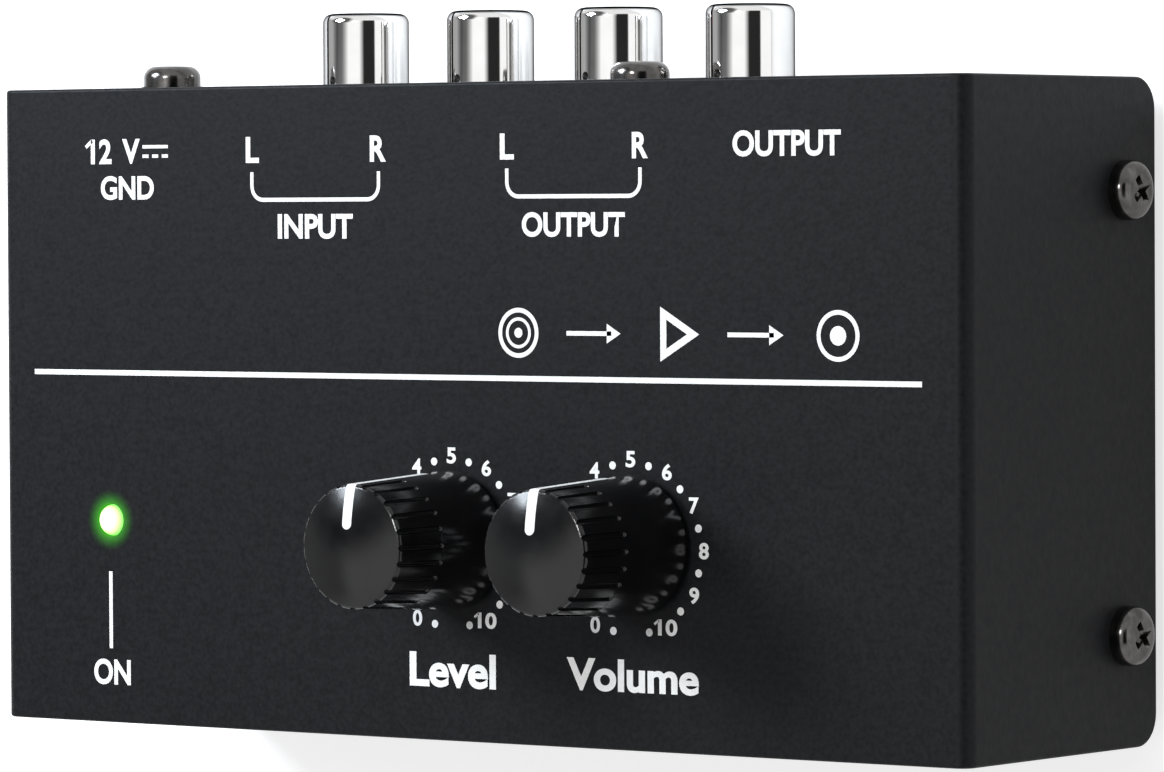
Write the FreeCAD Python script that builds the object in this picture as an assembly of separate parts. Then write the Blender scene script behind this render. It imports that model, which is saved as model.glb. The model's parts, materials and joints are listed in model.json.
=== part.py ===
import FreeCAD, Part
import math
import os

# Phono preamp in a small folded steel case, lying on its four rubber feet.
# Millimetres. +Z is up through the knob panel, +Y points out of the rear wall with its sockets,
# +X is to the right of someone who faces the knobs from the front edge.
# The origin is on the ground, under the middle of the whole object.

# Sheet metal
sheet = 1.0
cover_bend = 1.5
sharpest_bend = 0.1
case_corner = 3.0
edge_round = 0.3
shell_gap = 0.15
foot_radius = 4.0
foot_sole_radius = 3.5
foot_edge = 0.4
foot_height = 2.0
foot_inset = 9.0

# Stack of parts from the bottom sheet to the knob panel
standoff_height = 3.0
board_thickness = 1.6
jack_block_height = 18.4
head_room = 6.65

# Row of sockets along the rear wall, from the left flange to the right one
left_margin = 11.6
dc_jack_width = 9.0
dc_jack_gap = 3.5
jack_pitch = 15.1
phone_jack_gap = 0.8
phone_jack_width = 15.6
right_margin = 11.1

# Front edge to rear wall
knob_from_front = 18.7
control_board_reach = 8.5
control_board_gap = 3.8
phone_jack_length = 30.0

# Phono sockets
sleeve_radius = 4.15
sleeve_wall = 0.6
sleeve_reach = 7.1
sleeve_rim = 0.9
sleeve_root_step = 0.3
sleeve_shoulder = 0.3
sleeve_seat = 3.0
sleeve_slit = 0.35
sleeve_slit_angle = 24.0
sleeve_notch_radius = 0.42
sleeve_notch_angle = 13.0
sleeve_notch_rise = 0.2
sleeve_hole_gap = 0.3
jack_height = 8.7
jack_block_depth = 12.0
jack_block_joint = 0.2
insulator_recess = 0.25
insulator_nose_gap = 0.05
contact_radius = 2.0
contact_bore = 1.65
contact_depth = 9.0
contact_recess = 1.3
contact_tab = 0.6

# Screws with pan heads
screw_radius = 1.42
head_radius = 2.75
head_height = 1.95
head_round = 1.15
recess_width = 0.8
recess_length = 2.9
recess_depth = 1.1
thread_gap = 0.02
running_gap = 0.05
through_gap = 0.3
screw_hole_gap = 0.15
cover_screw_past_tab = 1.2
cover_screw_inset = 10.3
cover_screw_height = 5.5
cover_screw_turn = 35.0
board_edge_gap = 0.6
tab_width = 9.0
tab_height = 8.0
block_screw_length = 9.0
block_screw_height = 15.7

# Earth terminal
ground_drop = 6.8
ground_screw_length = 9.0
ground_washer_radius = 3.0
ground_washer_height = 0.35
ground_nut_flats = 5.5
ground_nut_height = 2.4
ground_lug_height = 0.5
ground_lug_reach = 7.5
ground_wire_radius = 0.6

# Power socket
dc_jack_height = 11.0
dc_jack_depth = 13.5
dc_jack_axis = 6.5
dc_nose_radius = 4.0
dc_bore = 2.85
dc_bore_depth = 9.5
dc_pin_radius = 1.05
dc_pin_recess = 0.8
dc_pin_tip = 0.63
dc_contact_width = 1.6

# Quarter-inch socket
phone_jack_height = 14.0
phone_jack_axis = 7.2
phone_bore = 3.25
phone_nose_radius = 5.2
phone_bushing_wall = 0.9
phone_bushing_length = 8.0
phone_leaf_width = 2.0
phone_leaf_length = 9.0
phone_leaf_thickness = 0.4
socket_nose_gap = 0.15

# Controls
level_from_jacks = 0.9
knob_pitch = 20.75
pot_width = 9.8
pot_depth = 10.8
pot_body_height = 5.4
pot_wafer = 1.2
pot_top_wall = 1.4
pot_cavity_radius = 4.2
bushing_radius = 3.5
bushing_bore = 2.55
bushing_foot = 0.5
bushing_rise = 3.2
pot_washer_radius = 4.9
pot_washer_height = 0.4
pot_nut_flats = 10.0
pot_nut_height = 2.0
neck_radius = 1.8
shaft_radius = 3.0
shaft_top = 12.0
wiper_radius = 3.6
wiper_thickness = 0.5
wiper_gap = 0.3
track_thickness = 0.2
track_outer = 3.7
track_inner = 2.2
pin_size = 0.6
pin_pitch = 2.54

# Knobs
knob_height = 15.0
knob_dome = 0.8
knob_top_radius = 5.7
knob_skirt_radius = 6.45
knob_lift = 0.8
knob_edge = 0.45
knob_recess_radius = 6.05
knob_recess_gap = 0.3
flute_count = 24
flute_end = 9.3
flute_radius = 0.3
flute_depth = 0.26
pointer_width = 1.05
pointer_depth = 0.15
pointer_start = 1.6
pointer_end = 4.2

# Pilot lamp
led_from_left = 13.7
led_from_front = 19.5
led_radius = 1.5
led_flange = 0.2
led_flange_height = 1.0
led_height = 5.3
led_rise = 0.5
led_gap = 0.1
led_lead = 0.5
led_lead_pitch = 1.6
led_spacer_wall = 0.5

# Boards
board_margin = 3.0
board_hole_inset = 4.0
board_screw_length = 5.0
standoff_radius = 2.6
control_board_margin = 5.0
header_pins = 8
header_width = 2.5
header_height = 2.5

# Components on the main board
can_radius = 3.15
can_height = 11.0
can_edge = 0.4
can_pitch = 8.6
can_count = 5
film_width = 7.2
film_depth = 2.5
film_height = 6.5
film_count = 4
chip_length = 9.6
chip_width = 6.4
chip_height = 3.4
chip_pitch = 14.0
chip_count = 2
chip_lift = 0.5
resistor_radius = 1.1
resistor_length = 6.2
resistor_pitch = 3.4
resistor_count = 8
lead_radius = 0.3
leg_radius = 0.25
regulator_width = 6.4
regulator_depth = 2.4
regulator_height = 8.0
diode_radius = 1.3
diode_length = 5.0
component_gap = 1.2

# Worked out from the sizes above
floor_top = foot_height + sheet
board_bottom = floor_top + standoff_height
board_top = board_bottom + board_thickness
panel_bottom = board_top + jack_block_height + head_room
panel_top = panel_bottom + sheet
ground_z = panel_top - ground_drop
jack_z = board_top + jack_height
block_screw_z = board_top + block_screw_height
dc_jack_z = board_top + dc_jack_axis
phone_jack_z = board_top + phone_jack_axis

case_depth = knob_from_front + control_board_reach + control_board_gap + phone_jack_length
front_y = -(case_depth + sleeve_reach) / 2
rear_y = front_y + case_depth
rear_wall_inside = rear_y - shell_gap - sheet
knob_y = front_y + knob_from_front

block_width = 2 * jack_pitch - jack_block_joint
socket_row = dc_jack_width + dc_jack_gap + 4 * jack_pitch + phone_jack_gap + phone_jack_width
case_width = left_margin + socket_row + right_margin
left_x = -case_width / 2
right_x = case_width / 2
dc_jack_x = left_x + left_margin + dc_jack_width / 2
first_jack_x = dc_jack_x + dc_jack_width / 2 + dc_jack_gap + jack_pitch / 2
jack_xs = [first_jack_x + n * jack_pitch for n in range(4)]
phone_jack_x = jack_xs[3] + jack_pitch / 2 + phone_jack_gap + phone_jack_width / 2
level_x = (jack_xs[0] + jack_xs[3]) / 2 + level_from_jacks
volume_x = level_x + knob_pitch
led_x = left_x + led_from_left
led_y = front_y + led_from_front

base_half_width = case_width / 2 - sheet - shell_gap
pot_height = pot_body_height + pot_wafer
control_top = panel_bottom - pot_height - bushing_foot
control_bottom = control_top - board_thickness
board_front = front_y + sheet + shell_gap + board_margin
board_back = rear_wall_inside - component_gap
cover_screw_length = 2 * sheet + shell_gap + cover_screw_past_tab
board_left = -base_half_width + sheet + cover_screw_past_tab + board_edge_gap
board_right = -board_left

# Edges are picked by their place, within this distance.
near = 0.01

os.makedirs("parts", exist_ok=True)


def vector(x, y, z):
    return FreeCAD.Vector(x, y, z)


def block(size_x, size_y, size_z, middle_x, middle_y, bottom_z):
    corner = vector(middle_x - size_x / 2, middle_y - size_y / 2, bottom_z)
    return Part.makeBox(size_x, size_y, size_z, corner)


def span(low, high):
    return Part.makeBox(high[0] - low[0], high[1] - low[1], high[2] - low[2], vector(*low))


def upright(radius, height, x, y, z):
    return Part.makeCylinder(radius, height, vector(x, y, z), vector(0, 0, 1))


def rearward(radius, length, x, y, z):
    return Part.makeCylinder(radius, length, vector(x, y, z), vector(0, 1, 0))


def sideways(radius, length, x, y, z, way=1):
    return Part.makeCylinder(radius, length, vector(x, y, z), vector(way, 0, 0))


def hexagon(flats, height, x, y, z):
    corner = flats / math.sqrt(3)
    angles = [math.radians(60 * n) for n in range(7)]
    points = [vector(corner * math.cos(angle), corner * math.sin(angle), 0) for angle in angles]
    nut = Part.Face(Part.makePolygon(points)).extrude(vector(0, 0, height))
    rounding = Part.makeCone(flats / 2 + height, flats / 2, height, vector(0, 0, 0))
    nut = nut.common(rounding)
    nut.translate(vector(x, y, z))
    return nut


def rounded_top(shape, radius):
    """Rounds the outer edge at the upper end of an upright round solid."""
    top = shape.BoundBox.ZMax
    rim = [edge for edge in shape.Edges if edge.Closed and edge.BoundBox.ZMin > top - near]
    return shape.makeFillet(radius, rim)


def turned(shape, axis, degrees):
    shape.rotate(vector(0, 0, 0), axis, degrees)
    return shape


def moved(shape, x, y, z):
    shape.translate(vector(x, y, z))
    return shape


def save(name, *solids):
    shape = solids[0] if len(solids) == 1 else Part.Compound(list(solids))
    shape.exportStep("parts/" + name + ".step")


# Pan-head screw along +Z, head on top of z = 0, with a cross recess.
def pan_screw(length):
    head = rounded_top(Part.makeCylinder(head_radius, head_height), head_round)
    shank = Part.makeCylinder(screw_radius, length, vector(0, 0, -length))
    screw = head.fuse(shank)
    recess_bottom = head_height - recess_depth
    bar = block(recess_length, recess_width, recess_depth, 0, 0, recess_bottom)
    cross = bar.fuse(block(recess_width, recess_length, recess_depth, 0, 0, recess_bottom))
    taper = Part.makeCone(recess_width / 2, recess_length / 2, recess_depth, vector(0, 0, recess_bottom))
    return screw.cut(cross.common(taper))


# Cover: knob panel with a flange down each side, bent from one sheet.
def case_profile(half_width, low_y, high_y, low_z, high_z, corner):
    """Block with its two lower corners rounded, seen from the side."""
    shape = span((-half_width, low_y, low_z), (half_width, high_y, high_z))
    if corner <= 0:
        return shape
    low_edges = [edge for edge in shape.Edges
                 if edge.BoundBox.ZMax < low_z + near and edge.BoundBox.XLength > half_width]
    return shape.makeFillet(corner, low_edges)


def bent_shell(half_width, low_y, high_y, low_z, high_z, bend):
    shape = span((-half_width, low_y, low_z), (half_width, high_y, high_z))
    bends = [edge for edge in shape.Edges
             if edge.BoundBox.ZMin > high_z - near and edge.BoundBox.YLength > (high_y - low_y) / 2]
    return shape.makeFillet(bend, bends)


def top_cover():
    outside = bent_shell(case_width / 2, front_y, rear_y, foot_height, panel_top, cover_bend)
    inside_half = case_width / 2 - sheet
    inside = bent_shell(inside_half, front_y - sheet, rear_y + sheet, foot_height - sheet, panel_bottom,
                        max(cover_bend - sheet, sharpest_bend))
    outside = outside.common(case_profile(case_width, front_y, rear_y, foot_height, panel_top, case_corner))
    rims = [edge for edge in outside.Edges
            if edge.BoundBox.YLength < near and edge.BoundBox.ZMax > foot_height + case_corner]
    outside = outside.makeFillet(edge_round, rims)
    cover = outside.cut(inside)
    for x in (level_x, volume_x):
        cover = cover.cut(upright(bushing_radius + through_gap, 3 * sheet, x, knob_y, panel_bottom - sheet))
    cover = cover.cut(upright(led_radius + led_gap, 3 * sheet, led_x, led_y, panel_bottom - sheet))
    for y in cover_screw_ys():
        hole = sideways(screw_radius + screw_hole_gap, case_width + 2 * sheet, left_x - sheet, y,
                        cover_screw_z())
        cover = cover.cut(hole)
    return cover


def cover_screw_ys():
    return (front_y + cover_screw_inset, rear_y - cover_screw_inset)


def cover_screw_z():
    return foot_height + cover_screw_height


# Base: front wall, floor and rear wall, bent from one sheet, with tapped tabs for the cover screws.
def base_chassis():
    low_y = front_y + shell_gap
    high_y = rear_y - shell_gap
    outside = case_profile(base_half_width, low_y, high_y, foot_height, panel_bottom - shell_gap, case_corner)
    inside = case_profile(base_half_width + sheet, low_y + sheet, high_y - sheet, floor_top, panel_top,
                          case_corner - sheet)
    base = outside.cut(inside)
    for side in (-1, 1):
        tab_x = side * (base_half_width - sheet / 2)
        for y in cover_screw_ys():
            base = base.fuse(block(sheet, tab_width, tab_height, tab_x, y, floor_top))
    for y in cover_screw_ys():
        hole = sideways(screw_radius + thread_gap, 2 * base_half_width, -base_half_width, y, cover_screw_z())
        base = base.cut(hole)
    wall = 3 * sheet
    wall_y = rear_wall_inside - sheet
    for x in jack_xs:
        base = base.cut(rearward(sleeve_radius + sleeve_hole_gap, wall, x, wall_y, jack_z))
    base = base.cut(rearward(screw_radius + thread_gap, wall, block_screw_x(), wall_y, block_screw_z))
    base = base.cut(rearward(screw_radius + through_gap, wall, dc_jack_x, wall_y, ground_z))
    base = base.cut(rearward(dc_nose_radius + socket_nose_gap, wall, dc_jack_x, wall_y, dc_jack_z))
    base = base.cut(rearward(phone_nose_radius + socket_nose_gap, wall, phone_jack_x, wall_y, phone_jack_z))
    for x, y in board_corners():
        base = base.cut(upright(screw_radius + sheet, 3 * sheet, x, y, foot_height - sheet))
    return base.removeSplitter()


def block_screw_x():
    return (jack_xs[2] + jack_xs[3]) / 2


def cover_screws():
    screws = []
    for side in (-1, 1):
        for y in cover_screw_ys():
            screw = turned(pan_screw(cover_screw_length), vector(0, 0, 1), cover_screw_turn)
            screw = turned(screw, vector(0, 1, 0), 90 * side)
            screws.append(moved(screw, side * case_width / 2, y, cover_screw_z()))
    return screws


def rubber_feet():
    feet = []
    for x in (left_x + foot_inset, right_x - foot_inset):
        for y in (front_y + foot_inset, rear_y - foot_inset):
            foot = Part.makeCone(foot_sole_radius, foot_radius, foot_height, vector(x, y, 0))
            sole = [edge for edge in foot.Edges if edge.Closed and edge.BoundBox.ZMax < near]
            feet.append(foot.makeFillet(min(foot_edge, foot_height / 2), sole))
    return feet


# Boards and what holds them
def board_corners():
    return [(x, y)
            for x in (board_left + board_hole_inset, board_right - board_hole_inset)
            for y in (board_front + board_hole_inset, board_back - board_hole_inset)]


def main_board():
    board = span((board_left, board_front, board_bottom), (board_right, board_back, board_top))
    for x, y in board_corners():
        board = board.cut(upright(screw_radius + screw_hole_gap, board_thickness, x, y, board_bottom))
    return board


def board_standoffs():
    standoffs = []
    for x, y in board_corners():
        pillar = upright(standoff_radius, standoff_height, x, y, floor_top)
        pillar = pillar.fuse(upright(screw_radius + sheet - thread_gap, sheet, x, y, foot_height))
        standoffs.append(pillar.cut(upright(screw_radius + thread_gap, standoff_height + 3 * sheet, x, y, 0)))
    return standoffs


def board_screws():
    return [moved(pan_screw(board_screw_length), x, y, board_top) for x, y in board_corners()]


# Phono sockets: a moulded block for each pair, and per socket a rolled sleeve, an insulator and a contact
def jack_block(pair):
    middle = (pair[0] + pair[1]) / 2
    back_y = rear_wall_inside - jack_block_depth
    middle_y = back_y + jack_block_depth / 2
    housing = block(block_width, jack_block_depth, jack_block_height, middle, middle_y, board_top)
    for x in pair:
        root_radius = sleeve_radius - sleeve_root_step
        housing = housing.cut(rearward(root_radius, sleeve_seat, x, rear_wall_inside - sleeve_seat, jack_z))
        housing = housing.cut(rearward(contact_radius, jack_block_depth, x, back_y, jack_z))
    if abs(middle - block_screw_x()) < jack_pitch / 2:
        pilot = rearward(screw_radius + thread_gap, block_screw_length, middle,
                         rear_wall_inside - block_screw_length, block_screw_z)
        housing = housing.cut(pilot)
    return housing


def sleeve(x):
    """Rolled tube with an open seam, a thinner root in the panel and a rim turned inwards."""
    length = rear_y + sleeve_reach - (rear_wall_inside - sleeve_seat)
    inner = sleeve_radius - sleeve_wall
    lip = sleeve_radius - sleeve_rim
    rim_z = length - sleeve_rim
    inside_rim = sleeve_rim - sleeve_wall
    halfway = math.sqrt(0.5)
    root = sleeve_radius - sleeve_root_step
    shoulder_z = length - sleeve_reach + sleeve_shoulder
    edges = [
        Part.LineSegment(vector(inner, 0, 0), vector(root, 0, 0)),
        Part.LineSegment(vector(root, 0, 0), vector(root, 0, shoulder_z)),
        Part.LineSegment(vector(root, 0, shoulder_z), vector(sleeve_radius, 0, shoulder_z)),
        Part.LineSegment(vector(sleeve_radius, 0, shoulder_z), vector(sleeve_radius, 0, rim_z)),
        Part.Arc(vector(sleeve_radius, 0, rim_z),
                 vector(lip + sleeve_rim * halfway, 0, rim_z + sleeve_rim * halfway), vector(lip, 0, length)),
        Part.LineSegment(vector(lip, 0, length), vector(lip, 0, length - sleeve_wall)),
        Part.Arc(vector(lip, 0, length - sleeve_wall),
                 vector(lip + inside_rim * halfway, 0, rim_z + inside_rim * halfway),
                 vector(inner, 0, rim_z)),
        Part.LineSegment(vector(inner, 0, rim_z), vector(inner, 0, 0)),
    ]
    wall = Part.Face(Part.Wire([edge.toShape() for edge in edges]))
    seam_angle = math.degrees(sleeve_slit / sleeve_radius)
    wall.rotate(vector(0, 0, 0), vector(0, 0, 1), 90 - sleeve_slit_angle + seam_angle / 2)
    tube = wall.revolve(vector(0, 0, 0), vector(0, 0, 1), 360 - seam_angle)
    notch = rearward(sleeve_notch_radius, 2 * sleeve_wall, 0, inner - sleeve_wall / 2, 0)
    notch_z = length - sleeve_reach + sleeve_notch_radius + sleeve_notch_rise
    tube = tube.cut(moved(turned(notch, vector(0, 0, 1), -sleeve_notch_angle), 0, 0, notch_z))
    # The tube is laid along +Y, with its seam near the top.
    tube = turned(tube, vector(1, 0, 0), -90)
    tube = turned(tube, vector(0, 1, 0), 180)
    return moved(tube, x, rear_wall_inside - sleeve_seat, jack_z)


def insulator(x):
    seat_y = rear_wall_inside - sleeve_seat
    rim_y = rear_y + sleeve_reach - sleeve_rim
    body = rearward(sleeve_radius - sleeve_wall, rim_y - seat_y, x, seat_y, jack_z)
    nose_length = sleeve_rim - insulator_recess
    nose_radius = sleeve_radius - sleeve_rim - insulator_nose_gap
    body = body.fuse(rearward(nose_radius, nose_length, x, rim_y, jack_z))
    return body.cut(rearward(contact_radius, rear_y + sleeve_reach - seat_y, x, seat_y, jack_z))


def centre_contact(x):
    back_y = rear_wall_inside - jack_block_depth
    front = rear_y + sleeve_reach - contact_recess
    contact = rearward(contact_radius, front - back_y, x, back_y, jack_z)
    contact = contact.cut(rearward(contact_bore, contact_depth, x, front - contact_depth, jack_z))
    tail = span((x - contact_radius, back_y - contact_tab, board_top),
                (x + contact_radius, back_y, jack_z + contact_radius))
    return contact.fuse(tail)


def jack_block_screw():
    screw = turned(pan_screw(block_screw_length), vector(1, 0, 0), -90)
    return moved(screw, block_screw_x(), rear_y - shell_gap, block_screw_z)


# Earth terminal: screw, washer, soldering lug and nut, with a link down to the board
def ground_screw():
    screw = turned(pan_screw(ground_screw_length), vector(1, 0, 0), -90)
    return moved(screw, dc_jack_x, rear_y - shell_gap + ground_washer_height, ground_z)


def ground_washer():
    wall_y = rear_y - shell_gap
    washer = rearward(ground_washer_radius, ground_washer_height, dc_jack_x, wall_y, ground_z)
    hole = rearward(screw_radius + running_gap, ground_washer_height, dc_jack_x, wall_y, ground_z)
    return washer.cut(hole)


def ground_lug():
    lug_y = rear_wall_inside - ground_lug_height
    lug = rearward(ground_nut_flats / 2, ground_lug_height, dc_jack_x, lug_y, ground_z)
    tongue_width = ground_nut_flats / 2
    tongue = span((dc_jack_x, lug_y, ground_z - tongue_width / 2),
                  (dc_jack_x + ground_lug_reach, rear_wall_inside, ground_z + tongue_width / 2))
    hole = rearward(screw_radius + through_gap, ground_lug_height, dc_jack_x, lug_y, ground_z)
    return lug.fuse(tongue).cut(hole)


def ground_nut():
    nut = hexagon(ground_nut_flats, ground_nut_height, 0, 0, 0)
    nut = nut.cut(upright(screw_radius + running_gap, ground_nut_height, 0, 0, 0))
    nut = turned(nut, vector(1, 0, 0), 90)
    return moved(nut, dc_jack_x, rear_wall_inside - ground_lug_height, ground_z)


def ground_wire():
    x = dc_jack_x + ground_lug_reach - 1.5 * ground_wire_radius
    y = rear_wall_inside - ground_lug_height - ground_wire_radius
    return upright(ground_wire_radius, ground_z - board_top, x, y, board_top)


# Power socket
def dc_jack_body():
    back_y = rear_wall_inside - dc_jack_depth
    middle_y = back_y + dc_jack_depth / 2
    body = block(dc_jack_width, dc_jack_depth, dc_jack_height, dc_jack_x, middle_y, board_top)
    body = body.fuse(rearward(dc_nose_radius, sheet, dc_jack_x, rear_wall_inside, dc_jack_z))
    mouth_y = rear_wall_inside + sheet
    body = body.cut(rearward(dc_bore, dc_bore_depth, dc_jack_x, mouth_y - dc_bore_depth, dc_jack_z))
    body = body.cut(rearward(dc_pin_radius, dc_jack_depth + sheet, dc_jack_x, back_y, dc_jack_z))
    return body.cut(dc_contact_blade())


def dc_jack_pin():
    back_y = rear_wall_inside - dc_jack_depth
    length = dc_jack_depth + sheet - dc_pin_recess
    pin = rearward(dc_pin_radius, length, dc_jack_x, back_y, dc_jack_z)
    tip = [edge for edge in pin.Edges if edge.Closed and edge.BoundBox.YMin > back_y + length / 2]
    pin = pin.makeFillet(dc_pin_tip, tip)
    tail = span((dc_jack_x - dc_pin_radius, back_y - contact_tab, board_top),
                (dc_jack_x + dc_pin_radius, back_y, dc_jack_z + dc_pin_radius))
    return pin.fuse(tail)


def dc_contact_blade():
    mouth_y = rear_wall_inside + sheet
    low = (dc_jack_x - dc_contact_width / 2, mouth_y - dc_bore_depth, board_top)
    high = (dc_jack_x + dc_contact_width / 2, mouth_y - dc_bore_depth / 2, dc_jack_z - dc_bore)
    return span(low, high)


# Quarter-inch socket
def phone_jack_body():
    depth = phone_jack_length - shell_gap - sheet
    back_y = rear_wall_inside - depth
    body = block(phone_jack_width, depth, phone_jack_height, phone_jack_x, back_y + depth / 2, board_top)
    body = body.fuse(rearward(phone_nose_radius, sheet, phone_jack_x, rear_wall_inside, phone_jack_z))
    mouth_y = rear_wall_inside + sheet
    bore_length = depth + sheet
    blind = 2 * sheet
    body = body.cut(rearward(phone_bore, bore_length - blind, phone_jack_x, back_y + blind, phone_jack_z))
    ring = rearward(phone_bore + phone_bushing_wall, phone_bushing_length, phone_jack_x,
                    mouth_y - phone_bushing_length, phone_jack_z)
    body = body.cut(ring)
    for leaf in phone_jack_contacts():
        body = body.cut(leaf)
    return body


def phone_jack_bushing():
    y = rear_wall_inside + sheet - phone_bushing_length
    ring = rearward(phone_bore + phone_bushing_wall, phone_bushing_length, phone_jack_x, y, phone_jack_z)
    return ring.cut(rearward(phone_bore, phone_bushing_length, phone_jack_x, y, phone_jack_z))


def phone_jack_contacts():
    leaves = []
    start_y = rear_wall_inside + sheet - phone_bushing_length - sheet - phone_leaf_length
    for side in (-1, 1):
        x = phone_jack_x + side * (phone_bore + running_gap + phone_leaf_thickness / 2)
        height = phone_jack_z - board_top + phone_leaf_width / 2
        middle_y = start_y + phone_leaf_length / 2
        leaves.append(block(phone_leaf_thickness, phone_leaf_length, height, x, middle_y, board_top))
    return leaves


# Control with its shaft: moulded body, wafer with the track, wiper, bushing, washer and nut
def pot_housing(x):
    bottom = control_top + pot_wafer
    body = block(pot_width, pot_depth, pot_body_height, x, knob_y, bottom)
    body = body.cut(upright(pot_cavity_radius, pot_body_height - pot_top_wall, x, knob_y, bottom))
    return body.cut(upright(bushing_bore, pot_body_height, x, knob_y, bottom))


def pot_wafer_plate(x):
    return block(pot_width, pot_depth, pot_wafer - track_thickness, x, knob_y, control_top)


def pot_track(x):
    bottom = control_top + pot_wafer - track_thickness
    ring = upright(track_outer, track_thickness, x, knob_y, bottom)
    return ring.cut(upright(track_inner, track_thickness, x, knob_y, bottom))


def pot_terminals(x):
    pins = []
    for row in (-1, 1):
        for n in (-1, 0, 1):
            pins.append(block(pin_size, pin_size, 2 * board_thickness, x + n * pin_pitch,
                              knob_y + row * (pot_depth / 2 + pin_size / 2), control_bottom - pin_size))
    return pins


def pot_bushing(x):
    flange = block(pot_width, pot_depth, bushing_foot, x, knob_y, panel_bottom - bushing_foot)
    tube = upright(bushing_radius, sheet + bushing_rise, x, knob_y, panel_bottom)
    ring = flange.fuse(tube)
    bore_length = bushing_foot + sheet + bushing_rise
    return ring.cut(upright(bushing_bore, bore_length, x, knob_y, panel_bottom - bushing_foot))


def pot_washer(x):
    washer = upright(pot_washer_radius, pot_washer_height, x, knob_y, panel_top)
    return washer.cut(upright(bushing_radius, pot_washer_height, x, knob_y, panel_top))


def pot_nut(x):
    bottom = panel_top + pot_washer_height
    nut = hexagon(pot_nut_flats, pot_nut_height, x, knob_y, bottom)
    return nut.cut(upright(bushing_radius, pot_nut_height, x, knob_y, bottom))


def pot_shaft(x):
    """Shaft with a journal in the bushing and a thicker end for the knob."""
    wiper_top = control_top + pot_wafer + wiper_gap + wiper_thickness
    journal_top = panel_top + bushing_rise + through_gap
    journal = upright(bushing_bore - running_gap, journal_top - wiper_top, x, knob_y, wiper_top)
    end = upright(shaft_radius, panel_top + shaft_top - journal_top, x, knob_y, journal_top)
    return journal.fuse(end)


def pot_wiper(x):
    bottom = control_top + pot_wafer + wiper_gap
    disc = upright(wiper_radius, wiper_thickness, x, knob_y, bottom)
    opening = span((x - wiper_radius, knob_y + neck_radius + sheet / 2, bottom),
                   (x + wiper_radius, knob_y + wiper_radius, bottom + wiper_thickness))
    finger = block(sheet, 2 * wiper_radius - sheet, wiper_thickness, x, knob_y, bottom)
    return disc.cut(opening).fuse(finger)


# Knob: fluted grip above a smooth tapering skirt, with a white pointer let into its face and side
def knob_radius(height):
    share = (height - knob_lift) / (knob_height - knob_lift)
    return knob_skirt_radius + (knob_top_radius - knob_skirt_radius) * share


def knob_envelope(inset=0.0):
    top = knob_height - inset
    dome_top = top + knob_dome
    radius = knob_top_radius - inset
    foot_radius_here = knob_skirt_radius - inset
    middle = radius / 2
    sphere = (radius ** 2 + knob_dome ** 2) / (2 * knob_dome)
    middle_z = dome_top - sphere + math.sqrt(sphere ** 2 - middle ** 2)
    edges = [
        Part.LineSegment(vector(0, 0, knob_lift), vector(foot_radius_here, 0, knob_lift)),
        Part.LineSegment(vector(foot_radius_here, 0, knob_lift), vector(radius, 0, top)),
        Part.Arc(vector(radius, 0, top), vector(middle, 0, middle_z), vector(0, 0, dome_top)),
        Part.LineSegment(vector(0, 0, dome_top), vector(0, 0, knob_lift)),
    ]
    wire = Part.Wire([edge.toShape() for edge in edges])
    body = Part.Face(wire).revolve(vector(0, 0, 0), vector(0, 0, 1), 360)
    rim = [edge for edge in body.Edges if edge.Closed and abs(edge.BoundBox.ZMax - top) < near]
    return body.makeFillet(knob_edge - inset, rim)


def flute():
    """Round cutter along the grip, with a ball end where the flute runs out into the skirt."""
    reach = flute_radius - flute_depth
    low = vector(0, knob_radius(flute_end) + reach, flute_end)
    high = vector(0, knob_radius(knob_height) + reach, knob_height)
    way = high - low
    length = way.Length + 2 * flute_radius
    way.normalize()
    return Part.makeCylinder(flute_radius, length, low, way).fuse(Part.makeSphere(flute_radius, low))


def pointer_slab():
    top = knob_height + knob_dome + pointer_width
    inner_y = pointer_start + pointer_width / 2
    slab = span((-pointer_width / 2, inner_y, pointer_end),
                (pointer_width / 2, knob_skirt_radius + pointer_width, top))
    return slab.fuse(upright(pointer_width / 2, top - pointer_end, 0, inner_y, pointer_end))


def pointer_inlay():
    skin = knob_envelope().cut(knob_envelope(pointer_depth))
    return skin.common(pointer_slab())


def knob():
    body = knob_envelope()
    for n in range(1, flute_count):
        body = body.cut(turned(flute(), vector(0, 0, 1), n * 360 / flute_count))
    recess_top = pot_washer_height + pot_nut_height + knob_recess_gap
    recess_top = max(recess_top, bushing_rise + knob_recess_gap)
    body = body.cut(upright(knob_recess_radius, recess_top, 0, 0, 0))
    return body.cut(upright(shaft_radius, shaft_top, 0, 0, 0))


# Pilot lamp on its spacer
def led_base():
    return panel_top + led_rise - led_height


def led_lens():
    base = led_base()
    bullet = upright(led_radius, led_height - led_radius, led_x, led_y, base)
    bullet = bullet.fuse(Part.makeSphere(led_radius, vector(led_x, led_y, base + led_height - led_radius)))
    return bullet.fuse(upright(led_radius + led_flange, led_flange_height, led_x, led_y, base))


def led_leads():
    height = led_base() - control_bottom + led_lead
    bottom = control_bottom - led_lead
    return [block(led_lead, led_lead, height, led_x + side * led_lead_pitch / 2, led_y, bottom)
            for side in (-1, 1)]


def led_spacer():
    outer = led_lead_pitch / 2 + led_lead + led_spacer_wall
    spacer = upright(outer, led_base() - control_top, led_x, led_y, control_top)
    for side in (-1, 1):
        lead_x = led_x + side * led_lead_pitch / 2
        spacer = spacer.cut(block(led_lead, led_lead, panel_top, lead_x, led_y, 0))
    return spacer


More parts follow.
